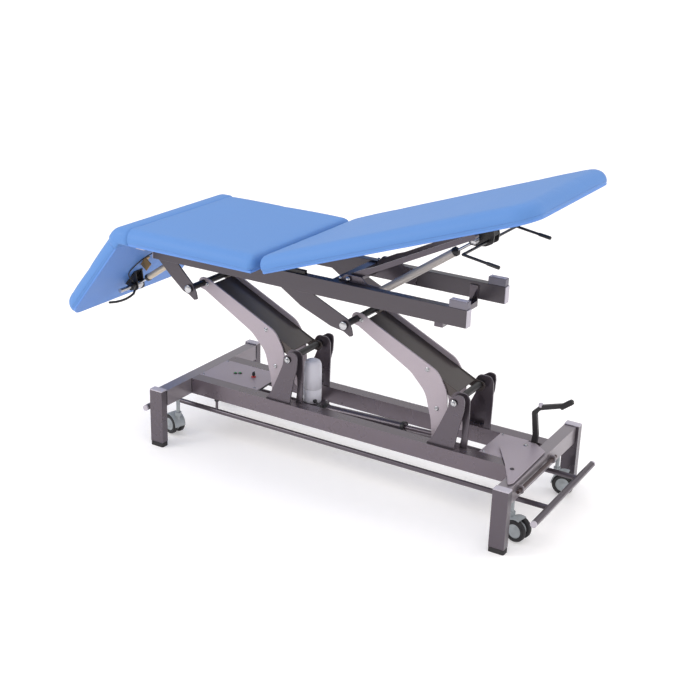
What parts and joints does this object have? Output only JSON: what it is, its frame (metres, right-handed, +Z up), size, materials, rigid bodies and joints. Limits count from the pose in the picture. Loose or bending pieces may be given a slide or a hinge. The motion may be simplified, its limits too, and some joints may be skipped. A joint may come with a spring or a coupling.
{
  "type": "adjustable treatment table",
  "caption": "Padded treatment table with a drooping head part, raised long part, parallelogram lift arms, foot control frame and retractable casters.",
  "frame": {"origin": "on the floor, under the middle of the overall length and width at the rest pose", "axes": "+X along the table from the head part towards the free end of the long part, +Y across the table, +Z up"},
  "size_m": [1.8958, 0.65, 1.1283],
  "materials": {
    "frame_paint": "satin",
    "arm_paint": "satin",
    "black_steel": "satin",
    "cover_paint": "satin",
    "bright_steel": "satin",
    "spring_tube": "satin",
    "light_cap": "satin",
    "pad_rubber": "matte",
    "stop_rubber": "matte",
    "green_lens": "gloss",
    "red_plastic": "gloss",
    "black_plastic": "satin",
    "motor_plastic": "satin",
    "blue_vinyl": "satin",
    "board_wrap": "satin",
    "caster_grey": "satin",
    "tyre_black": "matte"
  },
  "bodies": {
    "base": {"legs": "frame_paint", "leg_caps": "light_cap", "foot_pads": "pad_rubber", "crossbars": "frame_paint", "base_rails": "frame_paint", "tower_plates": "frame_paint", "lower_pivot_shafts": "black_steel", "control_panel": "cover_paint", "indicator_lamps": "green_lens", "key_collar": "red_plastic", "mechanism_cover": "cover_paint", "mechanism_hood": "cover_paint", "actuator_anchor": "frame_paint", "foot_rod_guides": "black_plastic"},
    "key": {"key_switch": "black_plastic"},
    "actuator_body": {"actuator_housing": "frame_paint", "actuator_motor": "motor_plastic"},
    "actuator_ram": {"actuator_rod": "bright_steel"},
    "foot_control": {"foot_control_frame": "frame_paint", "foot_bar_caps": "light_cap"},
    "caster_lift": {"caster_carriers": "black_steel"},
    "pedal": {"caster_pedal": "black_steel"},
    "torque_shaft": {"caster_torque_shaft": "black_steel"},
    "left_arm": {"left_arm_channel": "arm_paint", "left_arm_levers": "cover_paint"},
    "right_arm": {"right_arm_channel": "arm_paint", "right_arm_levers": "cover_paint", "actuator_lugs": "frame_paint"},
    "upper_frame": {"upper_rail_near": "frame_paint", "upper_rail_far": "frame_paint", "upper_hangers": "frame_paint", "upper_pivot_shafts": "black_steel", "upper_cross_members": "frame_paint", "rail_stop_blocks": "stop_rubber", "centre_cushion": "blue_vinyl", "centre_board": "board_wrap", "section_hinge_blocks": "black_steel", "strut_brackets": "frame_paint"},
    "long_section": {"long_cushion": "blue_vinyl", "long_board": "board_wrap", "long_frame": "frame_paint", "long_spring_bracket": "black_steel"},
    "long_release": {"release_lever": "black_steel"},
    "struts": {"support_struts": "frame_paint"},
    "long_ram": {"long_spring_rod": "bright_steel"},
    "long_gas_body": {"long_spring_cylinder": "spring_tube"},
    "head_section": {"head_cushion": "blue_vinyl", "head_board": "board_wrap", "head_frame": "black_steel"},
    "head_release": {"head_release_lever": "black_steel"},
    "head_ram": {"head_spring_rod": "bright_steel"},
    "head_gas_body": {"head_spring_cylinder": "spring_tube"},
    "caster_near_left": {"caster_near_left_fork": "caster_grey"},
    "wheels_near_left": {"caster_near_left_wheels": "tyre_black"},
    "caster_near_right": {"caster_near_right_fork": "caster_grey"},
    "wheels_near_right": {"caster_near_right_wheels": "tyre_black"},
    "caster_far_right": {"caster_far_right_fork": "caster_grey"},
    "wheels_far_right": {"caster_far_right_wheels": "tyre_black"},
    "caster_far_left": {"caster_far_left_fork": "caster_grey"},
    "wheels_far_left": {"caster_far_left_wheels": "tyre_black"}
  },
  "joints": [
    {"name": "lift_left_arm", "type": "hinge", "parent": "base", "child": "left_arm", "pos_m": [-0.07309, 0, 0.382], "axis": [0, 1, 0], "range_deg": [-28, 28]},
    {"name": "upper_frame_level", "type": "hinge", "parent": "left_arm", "child": "upper_frame", "pos_m": [-0.47809, 0, 0.574], "axis": [0, 1, 0], "range_deg": [-28, 28]},
    {"name": "lift_right_arm", "type": "hinge", "parent": "base", "child": "right_arm", "pos_m": [0.57691, 0, 0.382], "axis": [0, 1, 0], "range_deg": [-28, 28]},
    {"name": "actuator_tilt", "type": "hinge", "parent": "base", "child": "actuator_body", "pos_m": [-0.06709, -0.028, 0.181], "axis": [0, -1, 0], "range_deg": [-6, 6]},
    {"name": "actuator_stroke", "type": "slide", "parent": "actuator_body", "child": "actuator_ram", "axis": [0.9991, 0, 0.0416], "range_m": [-0.085, 0.085]},
    {"name": "long_section_tilt", "type": "hinge", "parent": "upper_frame", "child": "long_section", "pos_m": [-0.06309, 0, 0.738], "axis": [0, -1, 0], "range_deg": [-19.5, 18.5]},
    {"name": "strut_tilt", "type": "hinge", "parent": "upper_frame", "child": "struts", "pos_m": [0.16791, 0, 0.729], "axis": [0, -1, 0], "range_deg": [-28.5, 27]},
    {"name": "long_spring_swing", "type": "hinge", "parent": "long_section", "child": "long_ram", "pos_m": [0.56291, 0, 0.901], "axis": [0, -1, 0], "range_deg": [-7, 7]},
    {"name": "long_spring_stroke", "type": "slide", "parent": "long_ram", "child": "long_gas_body", "axis": [-0.8196, 0, -0.5729], "range_m": [-0.08, 0.08]},
    {"name": "long_release_lever", "type": "hinge", "parent": "long_section", "child": "long_release", "pos_m": [0.60883, 0, 0.90911], "axis": [0, 1, 0], "range_deg": [-12, 12], "stiffness_Nm_per_rad": 3},
    {"name": "head_section_tilt", "type": "hinge", "parent": "upper_frame", "child": "head_section", "pos_m": [-0.65509, 0, 0.738], "axis": [0, 1, 0], "range_deg": [-10, 80]},
    {"name": "head_spring_swing", "type": "hinge", "parent": "head_section", "child": "head_ram", "pos_m": [-0.81109, 0, 0.497], "axis": [0, 1, 0], "range_deg": [-12, 12]},
    {"name": "head_spring_stroke", "type": "slide", "parent": "head_ram", "child": "head_gas_body", "axis": [0.8207, 0, 0.5713], "range_m": [-0.03, 0.14]},
    {"name": "head_release", "type": "hinge", "parent": "head_section", "child": "head_release", "pos_m": [-0.81109, 0, 0.497], "axis": [0, 1, 0], "range_deg": [-10, 14], "stiffness_Nm_per_rad": 2},
    {"name": "caster_pedal_press", "type": "hinge", "parent": "base", "child": "pedal", "pos_m": [0.78491, 0, 0.19], "axis": [0, 1, 0], "range_deg": [0, 20]},
    {"name": "torque_shaft_turn", "type": "hinge", "parent": "base", "child": "torque_shaft", "pos_m": [0.86741, 0, 0.19], "axis": [0, 1, 0], "range_deg": [0, 20]},
    {"name": "caster_drop", "type": "slide", "parent": "base", "child": "caster_lift", "axis": [0, 0, 1], "range_m": [-0.012, 0]},
    {"name": "swivel_near_left", "type": "hinge", "parent": "caster_lift", "child": "caster_near_left", "pos_m": [-0.51409, -0.19, 0.1], "axis": [0, 0, 1], "continuous": true},
    {"name": "roll_near_left", "type": "hinge", "parent": "caster_near_left", "child": "wheels_near_left", "pos_m": [-0.54114, -0.18275, 0.041], "axis": [-0.2588, -0.9659, 0], "continuous": true},
    {"name": "swivel_near_right", "type": "hinge", "parent": "caster_lift", "child": "caster_near_right", "pos_m": [0.83591, -0.19, 0.1], "axis": [0, 0, 1], "continuous": true},
    {"name": "roll_near_right", "type": "hinge", "parent": "caster_near_right", "child": "wheels_near_right", "pos_m": [0.86348, -0.19486, 0.041], "axis": [0.1736, 0.9848, 0], "continuous": true},
    {"name": "swivel_far_right", "type": "hinge", "parent": "caster_lift", "child": "caster_far_right", "pos_m": [0.83591, 0.19, 0.1], "axis": [0, 0, 1], "continuous": true},
    {"name": "roll_far_right", "type": "hinge", "parent": "caster_far_right", "child": "wheels_far_right", "pos_m": [0.86348, 0.19486, 0.041], "axis": [-0.1736, 0.9848, 0], "continuous": true},
    {"name": "swivel_far_left", "type": "hinge", "parent": "caster_lift", "child": "caster_far_left", "pos_m": [-0.51409, 0.19, 0.1], "axis": [0, 0, 1], "continuous": true},
    {"name": "roll_far_left", "type": "hinge", "parent": "caster_far_left", "child": "wheels_far_left", "pos_m": [-0.5404, 0.18042, 0.041], "axis": [0.342, -0.9397, 0], "continuous": true},
    {"name": "foot_control_press", "type": "slide", "parent": "base", "child": "foot_control", "axis": [0, 0, 1], "range_m": [-0.008, 0.008], "stiffness_N_per_m": 15000},
    {"name": "key_turn", "type": "hinge", "parent": "base", "child": "key", "pos_m": [-0.31109, 0.006, 0.216], "axis": [0, 0, 1], "range_deg": [0, 90]}
  ],
  "couplings": [
    {"joint": "upper_frame_level", "follows": "lift_left_arm", "ratio": -1},
    {"joint": "lift_right_arm", "follows": "lift_left_arm", "ratio": 1},
    {"joint": "actuator_tilt", "follows": "lift_left_arm", "ratio": 0.122},
    {"joint": "actuator_stroke", "follows": "lift_left_arm", "m_per_rad": -0.162},
    {"joint": "strut_tilt", "follows": "long_section_tilt", "ratio": 1.445},
    {"joint": "long_spring_swing", "follows": "long_section_tilt", "ratio": 0.28},
    {"joint": "long_spring_stroke", "follows": "long_section_tilt", "m_per_rad": 0.213},
    {"joint": "head_spring_swing", "follows": "head_section_tilt", "ratio": -0.1166},
    {"joint": "head_spring_stroke", "follows": "head_section_tilt", "m_per_rad": 0.0968},
    {"joint": "torque_shaft_turn", "follows": "caster_pedal_press", "ratio": 1},
    {"joint": "caster_drop", "follows": "caster_pedal_press", "m_per_rad": -0.0343}
  ]
}
